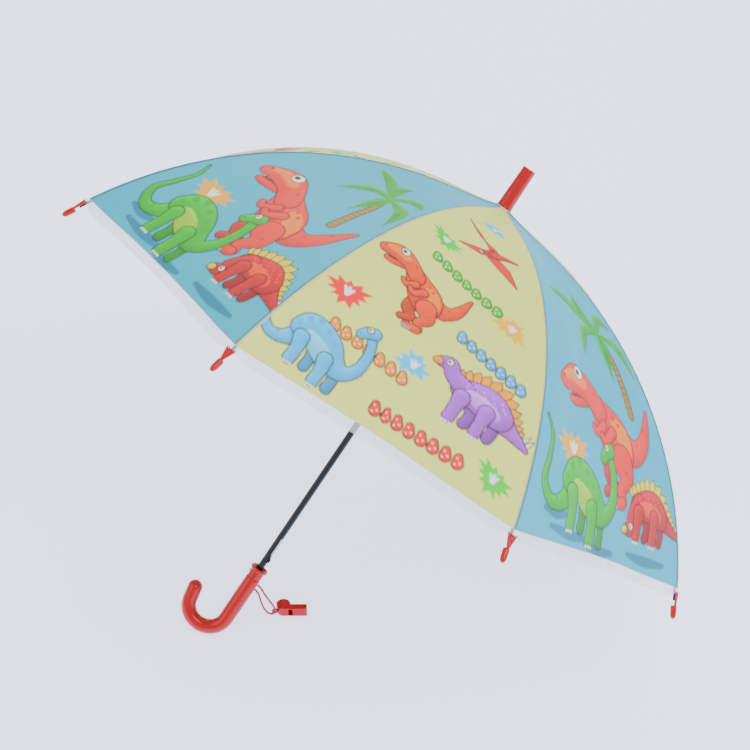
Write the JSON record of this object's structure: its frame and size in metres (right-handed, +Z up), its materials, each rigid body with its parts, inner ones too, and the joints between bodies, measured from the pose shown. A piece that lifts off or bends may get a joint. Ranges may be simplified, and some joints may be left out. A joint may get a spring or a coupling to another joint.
{
  "type": "children's stick umbrella",
  "caption": "Open children's stick umbrella with a domed printed canopy, long ferrule, runner frame, hook handle and a whistle on a cord.",
  "frame": {"origin": "on the floor, under the middle of the open umbrella as it rests on its hook handle and two rib tips", "axes": "+Z up from the floor; +Y across the canopy, its widest direction; the shaft leans in the XZ plane, handle towards -X and low, ferrule towards +X and high"},
  "size_m": [0.6012, 0.7902, 0.5647],
  "materials": {
    "shaft_black": "gloss black paint on steel tube",
    "frame_black": "satin black paint on folded steel channel",
    "spring_steel": "bright spring steel",
    "pin_steel": "plain steel pin and wire",
    "black_plastic": "moulded nylon",
    "red_plastic": "glossy moulded red plastic",
    "washer_plastic": "pale moulded washer",
    "canopy_film": "printed canopy cloth with a clear hem",
    "cord_red": "red braided cord"
  },
  "bodies": {
    "shaft": {"shaft": "shaft_black", "canopy_washer": "washer_plastic", "ferrule": "red_plastic", "crown": "black_plastic", "crown_wire": "pin_steel", "stop_pin": "pin_steel", "handle_collar": "red_plastic", "hook_handle": "red_plastic", "handle_pin": "pin_steel"},
    "runner": {"runner": "black_plastic", "runner_wire": "pin_steel"},
    "upper_catch": {"upper_catch": "black_plastic", "upper_catch_spring": "spring_steel"},
    "lower_catch": {"lower_catch": "black_plastic", "lower_catch_spring": "spring_steel"},
    "whistle": {"whistle_body": "red_plastic", "whistle_pea": "red_plastic", "whistle_cord": "cord_red"},
    "rib_inner_1": {"rib_inner_1": "frame_black", "canopy_panel_1": "canopy_film"},
    "rib_outer_1": {"rib_outer_1": "frame_black", "rib_tip_1": "red_plastic"},
    "stretcher_1": {"stretcher_1": "frame_black"},
    "rib_inner_2": {"rib_inner_2": "frame_black", "canopy_panel_2": "canopy_film"},
    "rib_outer_2": {"rib_outer_2": "frame_black", "rib_tip_2": "red_plastic"},
    "stretcher_2": {"stretcher_2": "frame_black"},
    "rib_inner_3": {"rib_inner_3": "frame_black", "canopy_panel_3": "canopy_film"},
    "rib_outer_3": {"rib_outer_3": "frame_black", "rib_tip_3": "red_plastic"},
    "stretcher_3": {"stretcher_3": "frame_black"},
    "rib_inner_4": {"rib_inner_4": "frame_black", "canopy_panel_4": "canopy_film"},
    "rib_outer_4": {"rib_outer_4": "frame_black", "rib_tip_4": "red_plastic"},
    "stretcher_4": {"stretcher_4": "frame_black"},
    "rib_inner_5": {"rib_inner_5": "frame_black", "canopy_panel_5": "canopy_film"},
    "rib_outer_5": {"rib_outer_5": "frame_black", "rib_tip_5": "red_plastic"},
    "stretcher_5": {"stretcher_5": "frame_black"},
    "rib_inner_6": {"rib_inner_6": "frame_black", "canopy_panel_6": "canopy_film"},
    "rib_outer_6": {"rib_outer_6": "frame_black", "rib_tip_6": "red_plastic"},
    "stretcher_6": {"stretcher_6": "frame_black"},
    "rib_inner_7": {"rib_inner_7": "frame_black", "canopy_panel_7": "canopy_film"},
    "rib_outer_7": {"rib_outer_7": "frame_black", "rib_tip_7": "red_plastic"},
    "stretcher_7": {"stretcher_7": "frame_black"},
    "rib_inner_8": {"rib_inner_8": "frame_black", "canopy_panel_8": "canopy_film"},
    "rib_outer_8": {"rib_outer_8": "frame_black", "rib_tip_8": "red_plastic"},
    "stretcher_8": {"stretcher_8": "frame_black"}
  },
  "joints": [
    {"name": "runner_slide", "type": "slide", "parent": "shaft", "child": "runner", "axis": [-0.6747, 0, -0.7381], "range_m": [0, 0.34362]},
    {"name": "rib_hinge_1", "type": "hinge", "parent": "shaft", "child": "rib_inner_1", "pos_m": [0.16344, 0.00306, 0.44423], "axis": [-0.2825, 0.9239, 0.2582], "range_deg": [0, 69.05], "deforming": ["canopy_panel_1"]},
    {"name": "rib_flex_1", "type": "hinge", "parent": "rib_inner_1", "child": "rib_outer_1", "pos_m": [0.27952, 0.09039, 0.25873], "axis": [0.2825, -0.9239, -0.2582], "range_deg": [0, 20.25]},
    {"name": "stretcher_hinge_1", "type": "hinge", "parent": "rib_inner_1", "child": "stretcher_1", "pos_m": [0.27621, 0.08973, 0.25749], "axis": [0.2825, -0.9239, -0.2582], "range_deg": [0, 138.1]},
    {"name": "rib_hinge_2", "type": "hinge", "parent": "shaft", "child": "rib_inner_2", "pos_m": [0.16024, 0.00739, 0.44715], "axis": [-0.6819, 0.3827, 0.6233], "range_deg": [0, 69.05], "deforming": ["canopy_panel_2"]},
    {"name": "rib_flex_2", "type": "hinge", "parent": "rib_inner_2", "child": "rib_outer_2", "pos_m": [0.18517, 0.21823, 0.34498], "axis": [0.6819, -0.3827, -0.6233], "range_deg": [0, 20.25]},
    {"name": "stretcher_hinge_2", "type": "hinge", "parent": "rib_inner_2", "child": "stretcher_2", "pos_m": [0.18255, 0.21662, 0.3431], "axis": [0.6819, -0.3827, -0.6233], "range_deg": [0, 138.1]},
    {"name": "rib_hinge_3", "type": "hinge", "parent": "shaft", "child": "rib_inner_3", "pos_m": [0.15572, 0.00739, 0.45128], "axis": [-0.6819, -0.3827, 0.6233], "range_deg": [0, 69.05], "deforming": ["canopy_panel_3"]},
    {"name": "rib_flex_3", "type": "hinge", "parent": "rib_inner_3", "child": "rib_outer_3", "pos_m": [0.05173, 0.21823, 0.46695], "axis": [0.6819, 0.3827, -0.6233], "range_deg": [0, 20.25]},
    {"name": "stretcher_hinge_3", "type": "hinge", "parent": "rib_inner_3", "child": "stretcher_3", "pos_m": [0.05009, 0.21662, 0.46418], "axis": [0.6819, 0.3827, -0.6233], "range_deg": [0, 138.1]},
    {"name": "rib_hinge_4", "type": "hinge", "parent": "shaft", "child": "rib_inner_4", "pos_m": [0.15253, 0.00306, 0.4542], "axis": [-0.2825, -0.9239, 0.2582], "range_deg": [0, 69.05], "deforming": ["canopy_panel_4"]},
    {"name": "rib_flex_4", "type": "hinge", "parent": "rib_inner_4", "child": "rib_outer_4", "pos_m": [-0.04262, 0.09039, 0.5532], "axis": [0.2825, 0.9239, -0.2582], "range_deg": [0, 20.25]},
    {"name": "stretcher_hinge_4", "type": "hinge", "parent": "rib_inner_4", "child": "stretcher_4", "pos_m": [-0.04357, 0.08973, 0.54979], "axis": [0.2825, 0.9239, -0.2582], "range_deg": [0, 138.1]},
    {"name": "rib_hinge_5", "type": "hinge", "parent": "shaft", "child": "rib_inner_5", "pos_m": [0.15253, -0.00306, 0.4542], "axis": [0.2825, -0.9239, -0.2582], "range_deg": [0, 69.05], "deforming": ["canopy_panel_5"]},
    {"name": "rib_flex_5", "type": "hinge", "parent": "rib_inner_5", "child": "rib_outer_5", "pos_m": [-0.04262, -0.09039, 0.5532], "axis": [-0.2825, 0.9239, 0.2582], "range_deg": [0, 20.25]},
    {"name": "stretcher_hinge_5", "type": "hinge", "parent": "rib_inner_5", "child": "stretcher_5", "pos_m": [-0.04357, -0.08973, 0.54979], "axis": [-0.2825, 0.9239, 0.2582], "range_deg": [0, 138.1]},
    {"name": "rib_hinge_6", "type": "hinge", "parent": "shaft", "child": "rib_inner_6", "pos_m": [0.15572, -0.00739, 0.45128], "axis": [0.6819, -0.3827, -0.6233], "range_deg": [0, 69.05], "deforming": ["canopy_panel_6"]},
    {"name": "rib_flex_6", "type": "hinge", "parent": "rib_inner_6", "child": "rib_outer_6", "pos_m": [0.05173, -0.21823, 0.46695], "axis": [-0.6819, 0.3827, 0.6233], "range_deg": [0, 20.25]},
    {"name": "stretcher_hinge_6", "type": "hinge", "parent": "rib_inner_6", "child": "stretcher_6", "pos_m": [0.05009, -0.21662, 0.46418], "axis": [-0.6819, 0.3827, 0.6233], "range_deg": [0, 138.1]},
    {"name": "rib_hinge_7", "type": "hinge", "parent": "shaft", "child": "rib_inner_7", "pos_m": [0.16024, -0.00739, 0.44715], "axis": [0.6819, 0.3827, -0.6233], "range_deg": [0, 69.05], "deforming": ["canopy_panel_7"]},
    {"name": "rib_flex_7", "type": "hinge", "parent": "rib_inner_7", "child": "rib_outer_7", "pos_m": [0.18517, -0.21823, 0.34498], "axis": [-0.6819, -0.3827, 0.6233], "range_deg": [0, 20.25]},
    {"name": "stretcher_hinge_7", "type": "hinge", "parent": "rib_inner_7", "child": "stretcher_7", "pos_m": [0.18255, -0.21662, 0.3431], "axis": [-0.6819, -0.3827, 0.6233], "range_deg": [0, 138.1]},
    {"name": "rib_hinge_8", "type": "hinge", "parent": "shaft", "child": "rib_inner_8", "pos_m": [0.16344, -0.00306, 0.44423], "axis": [0.2825, 0.9239, -0.2582], "range_deg": [0, 69.05], "deforming": ["canopy_panel_8"]},
    {"name": "rib_flex_8", "type": "hinge", "parent": "rib_inner_8", "child": "rib_outer_8", "pos_m": [0.27952, -0.09039, 0.25873], "axis": [-0.2825, -0.9239, 0.2582], "range_deg": [0, 20.25]},
    {"name": "stretcher_hinge_8", "type": "hinge", "parent": "rib_inner_8", "child": "stretcher_8", "pos_m": [0.27621, -0.08973, 0.25749], "axis": [-0.2825, -0.9239, 0.2582], "range_deg": [0, 138.1]},
    {"name": "upper_catch_press", "type": "hinge", "parent": "shaft", "child": "upper_catch", "pos_m": [0.07176, -0.0036, 0.35489], "axis": [0.7381, 0, -0.6747], "range_deg": [0, 5.5], "stiffness_Nm_per_rad": 1, "springref_deg": -1.15},
    {"name": "lower_catch_press", "type": "hinge", "parent": "shaft", "child": "lower_catch", "pos_m": [-0.15332, -0.0036, 0.10866], "axis": [0.7381, 0, -0.6747], "range_deg": [0, 5.5], "stiffness_Nm_per_rad": 1, "springref_deg": -1.15},
    {"name": "whistle_swing", "type": "hinge", "parent": "shaft", "child": "whistle", "pos_m": [-0.1945, -0.0067, 0.0545], "axis": [-1, 0, 0], "range_deg": [0, 35]}
  ],
  "couplings": [
    {"joint": "rib_hinge_1", "follows": "runner_slide", "rad_per_m": 3.5047},
    {"joint": "rib_flex_1", "follows": "runner_slide", "rad_per_m": 1.026},
    {"joint": "stretcher_hinge_1", "follows": "runner_slide", "rad_per_m": 7.0093},
    {"joint": "rib_hinge_2", "follows": "runner_slide", "rad_per_m": 3.5047},
    {"joint": "rib_flex_2", "follows": "runner_slide", "rad_per_m": 1.026},
    {"joint": "stretcher_hinge_2", "follows": "runner_slide", "rad_per_m": 7.0093},
    {"joint": "rib_hinge_3", "follows": "runner_slide", "rad_per_m": 3.5047},
    {"joint": "rib_flex_3", "follows": "runner_slide", "rad_per_m": 1.026},
    {"joint": "stretcher_hinge_3", "follows": "runner_slide", "rad_per_m": 7.0093},
    {"joint": "rib_hinge_4", "follows": "runner_slide", "rad_per_m": 3.5047},
    {"joint": "rib_flex_4", "follows": "runner_slide", "rad_per_m": 1.026},
    {"joint": "stretcher_hinge_4", "follows": "runner_slide", "rad_per_m": 7.0093},
    {"joint": "rib_hinge_5", "follows": "runner_slide", "rad_per_m": 3.5047},
    {"joint": "rib_flex_5", "follows": "runner_slide", "rad_per_m": 1.026},
    {"joint": "stretcher_hinge_5", "follows": "runner_slide", "rad_per_m": 7.0093},
    {"joint": "rib_hinge_6", "follows": "runner_slide", "rad_per_m": 3.5047},
    {"joint": "rib_flex_6", "follows": "runner_slide", "rad_per_m": 1.026},
    {"joint": "stretcher_hinge_6", "follows": "runner_slide", "rad_per_m": 7.0093},
    {"joint": "rib_hinge_7", "follows": "runner_slide", "rad_per_m": 3.5047},
    {"joint": "rib_flex_7", "follows": "runner_slide", "rad_per_m": 1.026},
    {"joint": "stretcher_hinge_7", "follows": "runner_slide", "rad_per_m": 7.0093},
    {"joint": "rib_hinge_8", "follows": "runner_slide", "rad_per_m": 3.5047},
    {"joint": "rib_flex_8", "follows": "runner_slide", "rad_per_m": 1.026},
    {"joint": "stretcher_hinge_8", "follows": "runner_slide", "rad_per_m": 7.0093}
  ]
}
